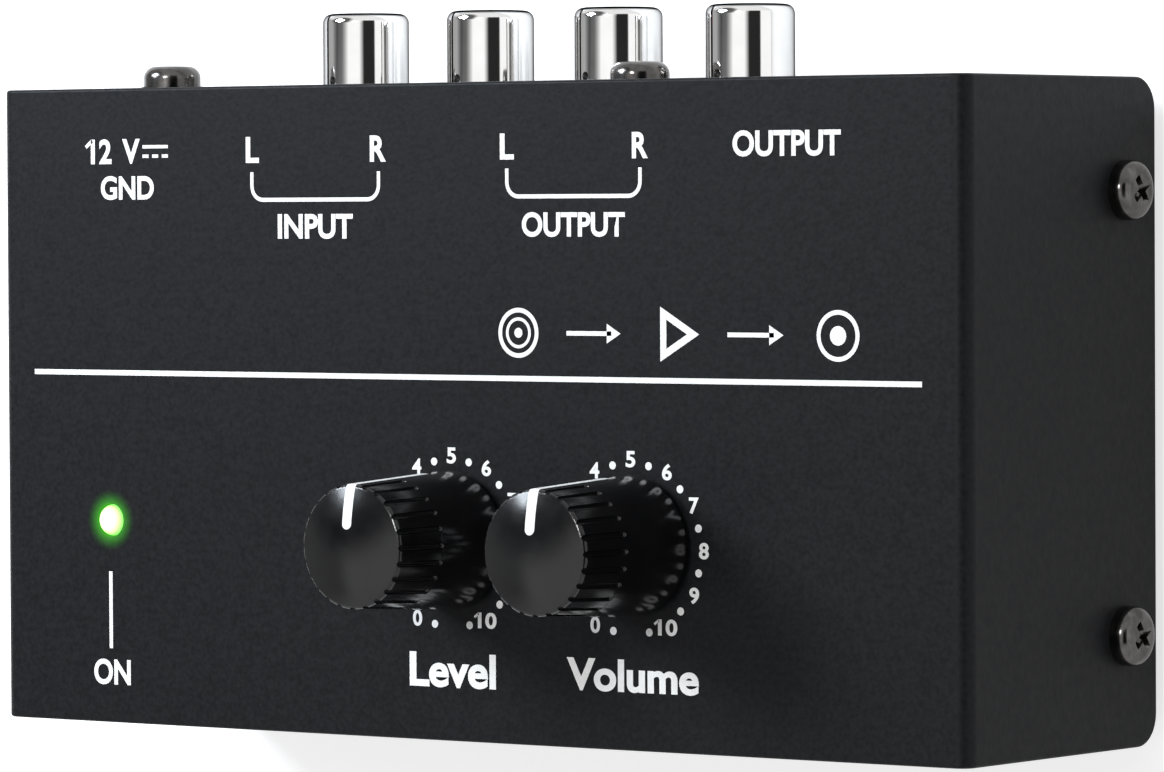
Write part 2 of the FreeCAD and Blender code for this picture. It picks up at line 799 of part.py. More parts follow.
# Small board under the panel, and the pin strip that joins it to the main board
def control_board():
    low_x = led_x - control_board_margin
    high_x = volume_x + pot_width / 2 + control_board_margin
    low_y = knob_y - control_board_reach
    board = span((low_x, low_y, control_bottom), (high_x, knob_y + control_board_reach, control_top))
    for x in (level_x, volume_x):
        for pin in pot_terminals(x):
            board = board.cut(pin)
    for lead in led_leads():
        board = board.cut(lead)
    for pin in header_contacts():
        board = board.cut(pin)
    return board


def header_xs():
    first = led_x + control_board_margin
    return [first + n * pin_pitch for n in range(header_pins)]


def header_contacts():
    return [span((x - pin_size / 2, knob_y - pin_size / 2, board_top),
                 (x + pin_size / 2, knob_y + pin_size / 2, control_top))
            for x in header_xs()]


def header_strips():
    xs = header_xs()
    middle = (xs[0] + xs[-1]) / 2
    strips = []
    for bottom in (board_top, control_bottom - header_height):
        strip = block(header_pins * pin_pitch, header_width, header_height, middle, knob_y, bottom)
        for pin in header_contacts():
            strip = strip.cut(pin)
        strips.append(strip)
    return strips


# Components
def components_back():
    return rear_wall_inside - jack_block_depth - contact_tab - component_gap


def capacitors():
    cans = []
    y = components_back() - can_radius
    for n in range(can_count):
        x = jack_xs[0] - jack_pitch / 2 + can_radius + n * can_pitch
        cans.append(rounded_top(upright(can_radius, can_height, x, y, board_top), can_edge))
    return cans


def film_capacitors():
    first = jack_xs[0] - jack_pitch / 2 + film_width / 2
    y = components_back() - 2 * can_radius - component_gap - film_depth / 2
    return [block(film_width, film_depth, film_height, first + n * (film_width + component_gap), y, board_top)
            for n in range(film_count)]


def amplifier_chips():
    first = volume_x - chip_pitch
    y = board_front + component_gap + chip_width / 2
    chips = []
    for n in range(chip_count):
        x = first + n * chip_pitch
        chip = block(chip_length, chip_width, chip_height, x, y, board_top + chip_lift)
        for side in (-1, 1):
            for m in range(4):
                leg = block(pin_size, pin_size / 2, chip_lift + chip_height / 2, x + (m - 1.5) * pin_pitch,
                            y + side * (chip_width / 2 + pin_size / 4), board_top)
                chip = chip.fuse(leg)
        chips.append(chip)
    return chips


def resistors():
    pieces = []
    middle_y = board_front + component_gap + resistor_length / 2
    for n in range(resistor_count):
        x = led_x + n * resistor_pitch
        rise = board_top + resistor_radius
        body = rearward(resistor_radius, resistor_length, x, middle_y - resistor_length / 2, rise)
        ends = resistor_length / 2 + 2 * lead_radius
        wire = rearward(lead_radius, 2 * ends, x, middle_y - ends, rise)
        for side in (-1, 1):
            leg_y = middle_y + side * (ends - lead_radius)
            wire = wire.fuse(upright(leg_radius, resistor_radius, x, leg_y, board_top))
        pieces.append(body.fuse(wire))
    return pieces


def voltage_regulator():
    y = rear_wall_inside - dc_jack_depth - contact_tab - component_gap - regulator_depth / 2
    return block(regulator_width, regulator_depth, regulator_height, dc_jack_x, y, board_top)


def protection_diode():
    y = rear_wall_inside - dc_jack_depth - contact_tab - 2 * component_gap - regulator_depth - diode_radius
    return sideways(diode_radius, diode_length, dc_jack_x - diode_length / 2, y, board_top + diode_radius)


save("top_cover", top_cover())
save("base_chassis", base_chassis())
save("cover_screws", *cover_screws())
save("rubber_feet", *rubber_feet())

save("main_board", main_board())
save("board_standoffs", *board_standoffs())
save("board_screws", *board_screws())

save("input_jack_block", jack_block(jack_xs[:2]))
save("output_jack_block", jack_block(jack_xs[2:]))
save("jack_block_screw", jack_block_screw())
for pair, xs in (("input", jack_xs[:2]), ("output", jack_xs[2:])):
    save(pair + "_sleeves", *[sleeve(x) for x in xs])
    save(pair + "_contacts", *[centre_contact(x) for x in xs])
save("left_insulators", insulator(jack_xs[0]), insulator(jack_xs[2]))
save("right_insulators", insulator(jack_xs[1]), insulator(jack_xs[3]))

save("ground_screw", ground_screw())
save("ground_washer", ground_washer())
save("ground_lug", ground_lug())
save("ground_nut", ground_nut())
save("ground_wire", ground_wire())

save("dc_jack_body", dc_jack_body())
save("dc_jack_pin", dc_jack_pin())
save("dc_jack_contact", dc_contact_blade())
save("phone_jack_body", phone_jack_body())
save("phone_jack_bushing", phone_jack_bushing())
save("phone_jack_contacts", *phone_jack_contacts())

for control, x in (("level", level_x), ("volume", volume_x)):
    save(control + "_pot_housing", pot_housing(x))
    save(control + "_pot_wafer", pot_wafer_plate(x), pot_track(x))
    save(control + "_pot_terminals", *pot_terminals(x))
    save(control + "_pot_bushing", pot_bushing(x))
    save(control + "_pot_washer", pot_washer(x))
    save(control + "_pot_nut", pot_nut(x))
    save(control + "_pot_shaft", pot_shaft(x))
    save(control + "_pot_wiper", pot_wiper(x))
    inlay = pointer_inlay()
    save(control + "_knob", moved(knob().cut(inlay), x, knob_y, panel_top))
    save(control + "_pointer", moved(inlay, x, knob_y, panel_top))

save("led_lens", led_lens())
save("led_leads", *led_leads())
save("led_spacer", led_spacer())
save("control_board", control_board())
save("header_strips", *header_strips())
save("header_contacts", *header_contacts())

save("electrolytic_capacitors", *capacitors())
save("film_capacitors", *film_capacitors())
save("amplifier_chips", *amplifier_chips())
save("resistors", *resistors())
save("voltage_regulator", voltage_regulator())
save("protection_diode", protection_diode())
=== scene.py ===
import json
import math

import bpy
from mathutils import Matrix, Vector


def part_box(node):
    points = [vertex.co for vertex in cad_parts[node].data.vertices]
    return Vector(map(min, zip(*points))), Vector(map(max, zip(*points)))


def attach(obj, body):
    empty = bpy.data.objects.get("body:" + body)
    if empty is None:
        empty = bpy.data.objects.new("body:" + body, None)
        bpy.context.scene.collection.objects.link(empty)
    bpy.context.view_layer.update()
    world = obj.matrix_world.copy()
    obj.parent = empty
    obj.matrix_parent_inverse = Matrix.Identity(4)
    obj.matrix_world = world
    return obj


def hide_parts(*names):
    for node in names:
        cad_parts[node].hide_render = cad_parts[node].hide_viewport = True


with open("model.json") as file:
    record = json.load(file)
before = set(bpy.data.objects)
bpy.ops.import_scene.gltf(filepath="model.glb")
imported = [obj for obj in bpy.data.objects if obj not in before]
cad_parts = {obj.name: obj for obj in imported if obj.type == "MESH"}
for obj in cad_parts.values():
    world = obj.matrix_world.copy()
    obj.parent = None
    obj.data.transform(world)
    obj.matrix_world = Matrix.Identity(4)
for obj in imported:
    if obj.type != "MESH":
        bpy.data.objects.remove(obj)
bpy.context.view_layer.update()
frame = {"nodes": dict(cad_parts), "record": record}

nodes = frame["nodes"]
mm = 0.001

coverLow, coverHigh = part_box("top_cover")
frontEdge = coverLow.y  # the panel's edge below the dials
panelTop = coverHigh.z

print("frame loaded:", len(nodes), "nodes")


# Small steps that the materials and the room share

def coordsOf(tree):
    return tree.nodes.new("ShaderNodeTexCoord").outputs["Object"]


def addNoise(tree, coords, size, detail=3.0):
    # size is the pattern's grain in millimetres
    mapping = tree.nodes.new("ShaderNodeMapping")
    mapping.inputs["Scale"].default_value = [1 / (size * mm)] * 3
    noise = tree.nodes.new("ShaderNodeTexNoise")
    noise.inputs["Scale"].default_value = 1.0
    noise.inputs["Detail"].default_value = detail
    tree.links.new(coords, mapping.inputs["Vector"])
    tree.links.new(mapping.outputs["Vector"], noise.inputs["Vector"])
    return noise.outputs["Fac"]


def addRamp(tree, factor, stops, steps="LINEAR"):
    ramp = tree.nodes.new("ShaderNodeValToRGB")
    points = ramp.color_ramp.elements
    while len(points) < len(stops):
        points.new(1.0)
    for point, (place, colour) in zip(points, stops):
        point.position = place
        point.color = (*colour, 1)
    ramp.color_ramp.interpolation = steps
    tree.links.new(factor, ramp.inputs["Fac"])
    return ramp.outputs["Color"]


def addRange(tree, factor, low, high, fromLow=0.0, fromHigh=1.0):
    change = tree.nodes.new("ShaderNodeMapRange")
    limits = {"From Min": fromLow, "From Max": fromHigh, "To Min": low, "To Max": high}
    for socket, value in limits.items():
        change.inputs[socket].default_value = value
    tree.links.new(factor, change.inputs["Value"])
    return change.outputs["Result"]


def feed(tree, socket, value):
    if isinstance(value, (int, float)):
        socket.default_value = value
    else:
        tree.links.new(value, socket)


def addMath(tree, operation, first, second):
    step = tree.nodes.new("ShaderNodeMath")
    step.operation = operation
    feed(tree, step.inputs[0], first)
    feed(tree, step.inputs[1], second)
    return step.outputs[0]


def addMix(tree, factor, first, second):
    # first where factor is 0, second where it is 1
    mix = tree.nodes.new("ShaderNodeMix")
    feed(tree, mix.inputs[0], factor)
    feed(tree, mix.inputs[2], first)
    feed(tree, mix.inputs[3], second)
    return mix.outputs[0]


def choose(tree, factor, colour, other):
    # other where factor is 1
    mix = tree.nodes.new("ShaderNodeMix")
    mix.data_type = "RGBA"
    mix.inputs[7].default_value = (*other, 1)
    tree.links.new(factor, mix.inputs[0])
    tree.links.new(colour, mix.inputs[6])
    return mix.outputs[2]


def addVector(tree, operation, coords, other=(0, 0, 0)):
    step = tree.nodes.new("ShaderNodeVectorMath")
    step.operation = operation
    step.inputs[1].default_value = other
    tree.links.new(coords, step.inputs[0])
    return step.outputs["Value" if operation in ("LENGTH", "DOT_PRODUCT") else "Vector"]


def splitAxes(tree, coords):
    split = tree.nodes.new("ShaderNodeSeparateXYZ")
    tree.links.new(coords, split.inputs["Vector"])
    return split.outputs


def addBump(tree, height, depth, shader):
    bump = tree.nodes.new("ShaderNodeBump")
    bump.inputs["Strength"].default_value = 1.0
    bump.inputs["Distance"].default_value = depth * mm
    tree.links.new(height, bump.inputs["Height"])
    tree.links.new(bump.outputs["Normal"], shader.inputs["Normal"])


def startMaterial(name):
    material = bpy.data.materials.new(name)
    material.use_nodes = True
    return material, material.node_tree, material.node_tree.nodes["Principled BSDF"]


# Studio: pale floor, even light, a dark flag beside the camera. Metres, degrees and watts; lens in mm

studio = {
    "cameraPlace": (0.37842, 0.01602, 0.52541),
    "yaw": 36.524,
    "pitch": 1.588,
    "roll": -0.292,
    "lens": 207.71,
    "filmWidth": 36,
    "nearestSeen": 0.01,
    "floorSize": 8.0,
    "floorColour": (0.76, 0.76, 0.76),
    "floorRough": 0.9,
    "floorGlow": 0.64,
    "floorGlowInGloss": 0.30,
    "worldLight": 0.45,
    "flags": ((27, 1.0), (30, 0.02), (58, 0.02), (70, 1.0), (128, 1.0), (135, 0.36), (180, 0.42)),
    "flagWidth": (0.34, 0.46),
    "besideFlag": 0.85,
    "shadePlace": (-0.544, 0.407, 0.734),
    "shadeCosine": (0.83, 0.92),
    "shadeLevel": 0.12,
    "keyPlace": (-0.24, 0.17, 0.27),
    "keySize": 0.14,
    "keyPower": 1.35,
    "keyColour": (0.84, 0.92, 1.0),
    "topPlace": (0.06, 0.16, 0.60),
    "topSize": 0.10,
    "topPower": 0.9,
    "topColour": (1.0, 1.0, 1.0),
    "lampsAim": (0, 0, 0.02),
}


def aimAt(place, target):
    return (Vector(place) - Vector(target)).to_track_quat("Z", "Y").to_euler()


def addSoftbox(which):
    place = studio[which + "Place"]
    turned = aimAt(place, studio["lampsAim"])
    bpy.ops.object.light_add(type="AREA", location=place, rotation=turned)
    softbox = bpy.context.object
    softbox.name = which + "_softbox"
    softbox.data.size = studio[which + "Size"]
    softbox.data.energy = studio[which + "Power"]
    softbox.data.color = studio[which + "Colour"]


def addCamera():
    yaw, pitch, roll = (math.radians(studio[name]) for name in ("yaw", "pitch", "roll"))
    back = Vector((math.cos(pitch) * math.sin(yaw), math.sin(pitch), math.cos(pitch) * math.cos(yaw)))
    up = Vector((-math.sin(pitch) * math.sin(yaw), math.cos(pitch), -math.sin(pitch) * math.cos(yaw)))
    right = Vector((math.cos(yaw), 0, -math.sin(yaw)))
    leaningRight = math.cos(roll) * right + math.sin(roll) * up
    leaningUp = -math.sin(roll) * right + math.cos(roll) * up
    turned = Matrix((leaningRight, leaningUp, back)).transposed().to_euler()
    bpy.ops.object.camera_add(location=studio["cameraPlace"], rotation=turned)
    camera = bpy.context.object
    camera.name = "studio_camera"
    camera.data.lens = studio["lens"]
    camera.data.sensor_width = studio["filmWidth"]
    camera.data.clip_start = studio["nearestSeen"]
    bpy.context.scene.camera = camera


def makeStudio():
    addCamera()
    bpy.ops.mesh.primitive_plane_add(size=studio["floorSize"], location=(0, 0, 0))
    floor = bpy.context.object
    floor.name = "studio_floor"
    material, tree, shader = startMaterial("studioFloor")
    shader.inputs["Base Color"].default_value = (*studio["floorColour"], 1)
    shader.inputs["Roughness"].default_value = studio["floorRough"]
    shader.inputs["Specular IOR Level"].default_value = 0.0
    shader.inputs["Emission Color"].default_value = (1, 1, 1, 1)
    # white to the camera and paler in metal, with no more light than that on the object
    path = tree.nodes.new("ShaderNodeLightPath").outputs
    inGloss = addMath(tree, "MAXIMUM", path["Is Glossy Ray"], path["Is Transmission Ray"])
    inGloss = addMath(tree, "MULTIPLY", inGloss, studio["floorGlowInGloss"])
    toCamera = addMath(tree, "MULTIPLY", path["Is Camera Ray"], studio["floorGlow"])
    tree.links.new(addMath(tree, "MAXIMUM", inGloss, toCamera), shader.inputs["Emission Strength"])
    floor.data.materials.append(material)

    addSoftbox("key")
    addSoftbox("top")
    makeWorld()


def makeWorld():
    # even light, and for gloss a room with a dark flag beside the camera and grey walls on the left
    world = bpy.data.worlds.new("studioWorld")
    bpy.context.scene.world = world
    world.use_nodes = True
    tree = world.node_tree
    shader = tree.nodes["Background"]
    shader.inputs["Color"].default_value = (1, 1, 1, 1)
    path = tree.nodes.new("ShaderNodeLightPath").outputs
    direction = tree.nodes.new("ShaderNodeTexCoord").outputs["Generated"]
    axes = splitAxes(tree, direction)
    turn = addMath(tree, "ARCTAN2", axes["Z"], axes["X"])
    turn = addMath(tree, "DIVIDE", turn, math.pi)
    stops = [(angle / 180, (level, level, level)) for angle, level in studio["flags"]]
    room = addRamp(tree, turn, stops)
    # the flag reaches a little way to each side
    beyond = addRange(tree, addMath(tree, "ABSOLUTE", axes["Y"], 0.0), 0.0, 1.0, *studio["flagWidth"])
    around = addMix(tree, beyond, room, studio["besideFlag"])
    toward = addVector(tree, "DOT_PRODUCT", direction, studio["shadePlace"])
    shade = addRange(tree, toward, 1.0, studio["shadeLevel"], *studio["shadeCosine"])
    gloss = addMath(tree, "MULTIPLY", around, shade)
    lit = addMix(tree, path["Is Glossy Ray"], studio["worldLight"], gloss)
    seen = addMath(tree, "MAXIMUM", path["Is Camera Ray"], path["Is Transmission Ray"])
    tree.links.new(addMix(tree, seen, lit, 1.0), shader.inputs["Strength"])


bpy.context.scene.view_settings.view_transform = "Standard"
makeStudio()
print("studio made")


# Finishes: patterns lie on the piece's own coordinates, with sizes in millimetres

patchSwing = {"colour": (0.35, 0.65), "rough": (0.3, 0.7)}  # the part of the noise that changes the look


def mixShades(tree, pattern, dark, light):
    low, high = patchSwing["colour"]
    return addRamp(tree, pattern, [(low, dark), (high, light)])


def varyRoughness(tree, pattern, rough, shader):
    tree.links.new(addRange(tree, pattern, *rough, *patchSwing["rough"]), shader.inputs["Roughness"])


finishes = {
    "nickelPlate": {
        "dark": (0.84, 0.83, 0.82), "light": (0.91, 0.90, 0.89),
        "patch": 2.5, "rough": (0.06, 0.10), "grain": 0.05, "bump": 0.0006, "metallic": 1.0,
    },
    "blackNickel": {
        "dark": (0.085, 0.080, 0.077), "light": (0.150, 0.142, 0.136),
        "patch": 1.2, "rough": (0.12, 0.22), "grain": 0.08, "bump": 0.001, "metallic": 1.0,
    },
    "tinPlate": {
        "dark": (0.55, 0.55, 0.53), "light": (0.72, 0.72, 0.70),
        "patch": 1.5, "rough": (0.28, 0.45), "grain": 0.15, "bump": 0.003, "metallic": 1.0,
    },
    "goldFlash": {
        "dark": (0.75, 0.52, 0.20), "light": (0.92, 0.70, 0.32),
        "patch": 1.0, "rough": (0.15, 0.28), "grain": 0.1, "bump": 0.001, "metallic": 1.0,
    },
    "turnedBrass": {
        "dark": (0.52, 0.40, 0.17), "light": (0.74, 0.60, 0.30),
        "patch": 1.5, "rough": (0.22, 0.38), "grain": 0.1, "bump": 0.002, "metallic": 1.0,
    },
    "footRubber": {
        "dark": (0.010, 0.010, 0.010), "light": (0.026, 0.026, 0.026),
        "patch": 0.8, "rough": (0.75, 0.95), "grain": 0.12, "bump": 0.02, "metallic": 0.0,
    },
    "mouldedBlack": {
        "dark": (0.012, 0.012, 0.013), "light": (0.026, 0.026, 0.027),
        "patch": 2.0, "rough": (0.38, 0.55), "grain": 0.18, "bump": 0.006, "metallic": 0.0,
    },
    "filledPlastic": {
        "dark": (0.05, 0.05, 0.055), "light": (0.13, 0.13, 0.14),
        "patch": 0.6, "rough": (0.5, 0.7), "grain": 0.1, "bump": 0.008, "metallic": 0.0,
    },
    "phenolicWafer": {
        "dark": (0.22, 0.12, 0.05), "light": (0.40, 0.24, 0.12),
        "patch": 0.9, "rough": (0.55, 0.75), "grain": 0.15, "bump": 0.006, "metallic": 0.0,
    },
    "filmCase": {
        "dark": (0.34, 0.02, 0.015), "light": (0.52, 0.05, 0.04),
        "patch": 1.4, "rough": (0.18, 0.35), "grain": 0.4, "bump": 0.01, "metallic": 0.0,
    },
    "whitePaint": {
        "dark": (0.93, 0.93, 0.92), "light": (0.98, 0.98, 0.98),
        "patch": 0.6, "rough": (0.45, 0.65), "grain": 0.08, "bump": 0.004, "metallic": 0.0,
    },
    "knobPlastic": {
        "dark": (0.0035, 0.0035, 0.0040), "light": (0.0060, 0.0060, 0.0065),
        "patch": 3.0, "rough": (0.14, 0.20), "grain": 0.12, "bump": 0.0012, "metallic": 0.0, "specular": 0.52,
    },
}


def makeFinish(name, look):
    material, tree, shader = startMaterial(name)
    coords = coordsOf(tree)
    patches = addNoise(tree, coords, look["patch"])
    grain = addNoise(tree, coords, look["grain"])
    colour = mixShades(tree, patches, look["dark"], look["light"])
    tree.links.new(colour, shader.inputs["Base Color"])
    varyRoughness(tree, patches, look["rough"], shader)
    shader.inputs["Metallic"].default_value = look["metallic"]
    shader.inputs["Specular IOR Level"].default_value = look.get("specular", 0.5)
    addBump(tree, grain, look["bump"], shader)
    return material


coat = {
    "dark": (0.0060, 0.0065, 0.0076),
    "light": (0.0105, 0.0111, 0.0128),
    "speck": 0.45,
    "peel": 0.9,
    "rough": (0.40, 0.52),
    "bump": 0.012,
    "specular": 0.14,
    "haloColour": (0.12, 1.0, 0.04),
    "haloReach": (1.2, 3.1),
    "haloFall": 2.2,
    "haloStrength": 0.55,
}


def makeCoat(name):
    # satin powder coat, with a painted glow: green emission on the panel round the lamp stands in for its
    # light
    material, tree, shader = startMaterial(name)
    coords = coordsOf(tree)
    speck = addNoise(tree, coords, coat["speck"], 4.0)
    peel = addNoise(tree, coords, coat["peel"], 2.0)
    colour = mixShades(tree, speck, coat["dark"], coat["light"])
    tree.links.new(colour, shader.inputs["Base Color"])
    varyRoughness(tree, peel, coat["rough"], shader)
    shader.inputs["Specular IOR Level"].default_value = coat["specular"]
    addBump(tree, addMath(tree, "ADD", speck, peel), coat["bump"], shader)
    # painted glow: emission that fades with distance from the lamp's lens, not light cast by it
    low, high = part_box("led_lens")
    middle = (low + high) / 2
    away = addVector(tree, "SUBTRACT", coords, (middle.x, middle.y, panelTop))
    reach = [distance * mm for distance in coat["haloReach"]]
    fade = addRange(tree, addVector(tree, "LENGTH", away), 1.0, 0.0, *reach)
    falling = addMath(tree, "POWER", fade, coat["haloFall"])
    glow = addMath(tree, "MULTIPLY", falling, coat["haloStrength"])
    tree.links.new(glow, shader.inputs["Emission Strength"])
    shader.inputs["Emission Color"].default_value = (*coat["haloColour"], 1)
    return material


lampGlow = {
    "core": (0.80, 1.0, 0.45),
    "rim": (0.10, 0.95, 0.05),
    "reach": (0.9, 1.6),
    "strength": 1.35,
    "rough": 0.25,
}


def makeLampResin(name):
    # lit green resin, nearly white in the middle
    material, tree, shader = startMaterial(name)
    low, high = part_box("led_lens")
    middle = (low + high) / 2
    away = addVector(tree, "SUBTRACT", coordsOf(tree), (middle.x, middle.y, 0))
    sideways = addVector(tree, "MULTIPLY", away, (1, 1, 0))
    reach = [distance * mm for distance in lampGlow["reach"]]
    across = addRange(tree, addVector(tree, "LENGTH", sideways), 0.0, 1.0, *reach)
    colour = addRamp(tree, across, [(0.0, lampGlow["core"]), (1.0, lampGlow["rim"])])
    tree.links.new(colour, shader.inputs["Base Color"])
    tree.links.new(colour, shader.inputs["Emission Color"])
    shader.inputs["Emission Strength"].default_value = lampGlow["strength"]
    shader.inputs["Roughness"].default_value = lampGlow["rough"]
    return material


barrel = {
    "lip": (0.34, 0.17),
    "shadow": (0.008, 0.008, 0.008),
    "dark": (0.93, 0.925, 0.92),
    "light": (0.97, 0.967, 0.963),
    "edge": (0.10, 0.10, 0.10),
    "patch": 3.0,
    "rough": (0.05, 0.08),
    "scratch": 0.06,
    "bump": 0.0003,
}


def makeBarrelPlate(name):
    # bright plating, with painted shade: the thin lip at the mouth is coloured near black for the shadow
    # inside the mouth
    material, tree, shader = startMaterial(name)
    coords = coordsOf(tree)
    patches = addNoise(tree, coords, barrel["patch"])
    colour = mixShades(tree, patches, barrel["dark"], barrel["light"])
    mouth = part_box("input_sleeves")[1].y
    lipBand = [mouth - depth * mm for depth in barrel["lip"]]
    lip = addRange(tree, splitAxes(tree, coords)["Y"], 0.0, 1.0, *lipBand)
    # painted shade: the lip band takes the near-black shadow colour instead of the plating
    tree.links.new(choose(tree, lip, colour, barrel["shadow"]), shader.inputs["Base Color"])
    varyRoughness(tree, patches, barrel["rough"], shader)
    shader.inputs["Metallic"].default_value = 1.0
    shader.inputs["Specular Tint"].default_value = (*barrel["edge"], 1)
    addBump(tree, addNoise(tree, coords, barrel["scratch"]), barrel["bump"], shader)
    return material


insulators = {
    "white": ((0.72, 0.70, 0.65), (0.85, 0.84, 0.80)),
    "red": ((0.42, 0.012, 0.012), (0.60, 0.03, 0.025)),
    "body": (0.010, 0.010, 0.010),
    "noseDepth": 1.5,
    "patch": 2.0,
    "rough": (0.30, 0.45),
    "grain": 0.2,
    "bump": 0.003,
}


def makeInsulator(name, shades):
    # coloured nose in the mouth of the socket on a black body
    material, tree, shader = startMaterial(name)
    coords = coordsOf(tree)
    patches = addNoise(tree, coords, insulators["patch"])
    colour = mixShades(tree, patches, *shades)
    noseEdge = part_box("left_insulators")[1].y - insulators["noseDepth"] * mm
    behind = addMath(tree, "LESS_THAN", splitAxes(tree, coords)["Y"], noseEdge)
    tree.links.new(choose(tree, behind, colour, insulators["body"]), shader.inputs["Base Color"])
    varyRoughness(tree, patches, insulators["rough"], shader)
    addBump(tree, addNoise(tree, coords, insulators["grain"]), insulators["bump"], shader)
    return material


board = {
    "mask": (0.012, 0.10, 0.035),
    "track": (0.02, 0.17, 0.06),
    "cell": 3.6,
    "trackEdge": (0.04, 0.09),
    "blend": (0.2, 0.8),
    "rough": 0.32,
    "bump": 0.02,
}


def makeBoard(name):
    # solder mask with paler tracks running two ways under it
    material, tree, shader = startMaterial(name)
    coords = coordsOf(tree)
    mapping = tree.nodes.new("ShaderNodeMapping")
    mapping.inputs["Scale"].default_value = [1 / (board["cell"] * mm)] * 3
    tree.links.new(coords, mapping.inputs["Vector"])
    cells = tree.nodes.new("ShaderNodeTexVoronoi")
    cells.distance = "CHEBYCHEV"
    cells.feature = "DISTANCE_TO_EDGE"
    cells.inputs["Scale"].default_value = 1.0
    tree.links.new(mapping.outputs["Vector"], cells.inputs["Vector"])
    edge = addRange(tree, cells.outputs["Distance"], 1.0, 0.0, *board["trackEdge"])
    colour = addRamp(tree, edge, list(zip(board["blend"], (board["mask"], board["track"]))))
    tree.links.new(colour, shader.inputs["Base Color"])
    shader.inputs["Roughness"].default_value = board["rough"]
    addBump(tree, edge, board["bump"], shader)
    return material


bands = {
    "lead": (0.6, 0.6, 0.58),
    "body": (0.16, 0.42, 0.58),
    "bodyEnds": (0.12, 0.88),
    "stripes": (
        (0.30, (0.35, 0.12, 0.02)),
        (0.42, (0.01, 0.01, 0.01)),
        (0.54, (0.55, 0.03, 0.02)),
        (0.72, (0.45, 0.30, 0.05)),
    ),
    "stripeWidth": 0.05,
    "rough": 0.3,
}


def makeBanded(name):
    # lacquered body with coloured rings along its length
    material, tree, shader = startMaterial(name)
    low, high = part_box("resistors")
    along = addRange(tree, splitAxes(tree, coordsOf(tree))["Y"], 0.0, 1.0, low.y, high.y)
    bodyStart, bodyEnd = bands["bodyEnds"]
    stops = [(0.0, bands["lead"]), (bodyStart, bands["body"])]
    for place, colour in bands["stripes"]:
        stops += [(place, colour), (place + bands["stripeWidth"], bands["body"])]
    stops.append((bodyEnd, bands["lead"]))
    tree.links.new(addRamp(tree, along, stops, "CONSTANT"), shader.inputs["Base Color"])
    shader.inputs["Roughness"].default_value = bands["rough"]
    return material


can = {
    "sleeve": (0.010, 0.012, 0.05),
    "stripe": (0.55, 0.56, 0.58),
    "stripeWidth": 1.3,
    "lid": (0.70, 0.70, 0.70),
    "lidDepth": 0.35,
    "rough": 0.28,
    "lidRough": 0.22,
}


def makeCanSleeve(name):
    # shrink sleeve with a pale stripe down one side and a bare lid
    material, tree, shader = startMaterial(name)
    low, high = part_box("electrolytic_capacitors")
    axes = splitAxes(tree, coordsOf(tree))
    stripe = addMath(tree, "LESS_THAN", axes["Y"], low.y + can["stripeWidth"] * mm)
    colour = addRamp(tree, stripe, [(0.0, can["sleeve"]), (1.0, can["stripe"])])
    lid = addMath(tree, "GREATER_THAN", axes["Z"], high.z - can["lidDepth"] * mm)
    tree.links.new(choose(tree, lid, colour, can["lid"]), shader.inputs["Base Color"])
    tree.links.new(addRange(tree, lid, can["rough"], can["lidRough"]), shader.inputs["Roughness"])
    tree.links.new(lid, shader.inputs["Metallic"])
    return material


materials = {name: makeFinish(name, look) for name, look in finishes.items()}
materials["powderCoat"] = makeCoat("powderCoat")
materials["lampResin"] = makeLampResin("lampResin")
materials["barrelPlate"] = makeBarrelPlate("barrelPlate")
for shade in ("white", "red"):
    materials[shade + "Insulator"] = makeInsulator(shade + "Insulator", insulators[shade])
materials["boardMask"] = makeBoard("boardMask")
materials["bandedLacquer"] = makeBanded("bandedLacquer")
materials["canSleeve"] = makeCanSleeve("canSleeve")

finishOfSlot = {
    "powder_coat": "powderCoat",
    "nickel": "blackNickel",
    "bright_steel": "nickelPlate",
    "tin": "tinPlate",
    "gold": "goldFlash",
    "brass": "turnedBrass",
    "rubber": "footRubber",
    "circuit_board": "boardMask",
    "moulded_black": "mouldedBlack",
    "white_insulator": "whiteInsulator",
    "red_insulator": "redInsulator",
    "pot_case": "filledPlastic",
    "wafer": "phenolicWafer",
    "knob_plastic": "knobPlastic",
    "white_print": "whitePaint",
    "pilot_lens": "lampResin",
    "capacitor_sleeve": "canSleeve",
    "film_case": "filmCase",
    "resistor_body": "bandedLacquer",
}
finishOfNode = {"input_sleeves": "barrelPlate", "output_sleeves": "barrelPlate"}


def dressNodes():
    for subpart in frame["record"]["subparts"]:
        piece = nodes[subpart["node"]]
        usual = finishOfSlot[subpart["material_slot"]]
        finish = materials[finishOfNode.get(subpart["node"], usual)]
        if not piece.material_slots:
            piece.data.materials.append(finish)
        for slot in piece.material_slots:
            slot.material = finish


dressNodes()
print("finishes made:", len(materials))


def onlySelect(*pieces):
    bpy.ops.object.select_all(action="DESELECT")
    for piece in pieces:
        piece.select_set(True)
    bpy.context.view_layer.objects.active = pieces[-1]


def settle(piece):
    # the piece's place goes into its mesh
    onlySelect(piece)
    bpy.ops.object.transform_apply(location=True, rotation=True, scale=True)


def meshBox(piece):
    points = [vertex.co for vertex in piece.data.vertices]
    low = Vector([min(point[axis] for point in points) for axis in range(3)])
    high = Vector([max(point[axis] for point in points) for axis in range(3)])
    return low, high


# The pilot lamp's lens stands for the plain one: a flange, a stem and a full round crown

lens = {
    "sides": 40,
    "stemRadius": 1.5,
    "flangeHeight": 1.0,
    "crown": 1.0,
    "crownSteps": 8,
    "smoothAngle": 35,
    "levelTolerance": 0.01,
}


def selectTop(piece):
    # the face at the upper end, ready in edit mode
    top = meshBox(piece)[1].z
    bpy.ops.object.mode_set(mode="EDIT")
    bpy.ops.mesh.select_mode(type="FACE")
    bpy.ops.mesh.select_all(action="DESELECT")
    bpy.ops.object.mode_set(mode="OBJECT")
    for face in piece.data.polygons:
        face.select = face.center.z > top - lens["levelTolerance"] * mm
    bpy.ops.object.mode_set(mode="EDIT")
    return top


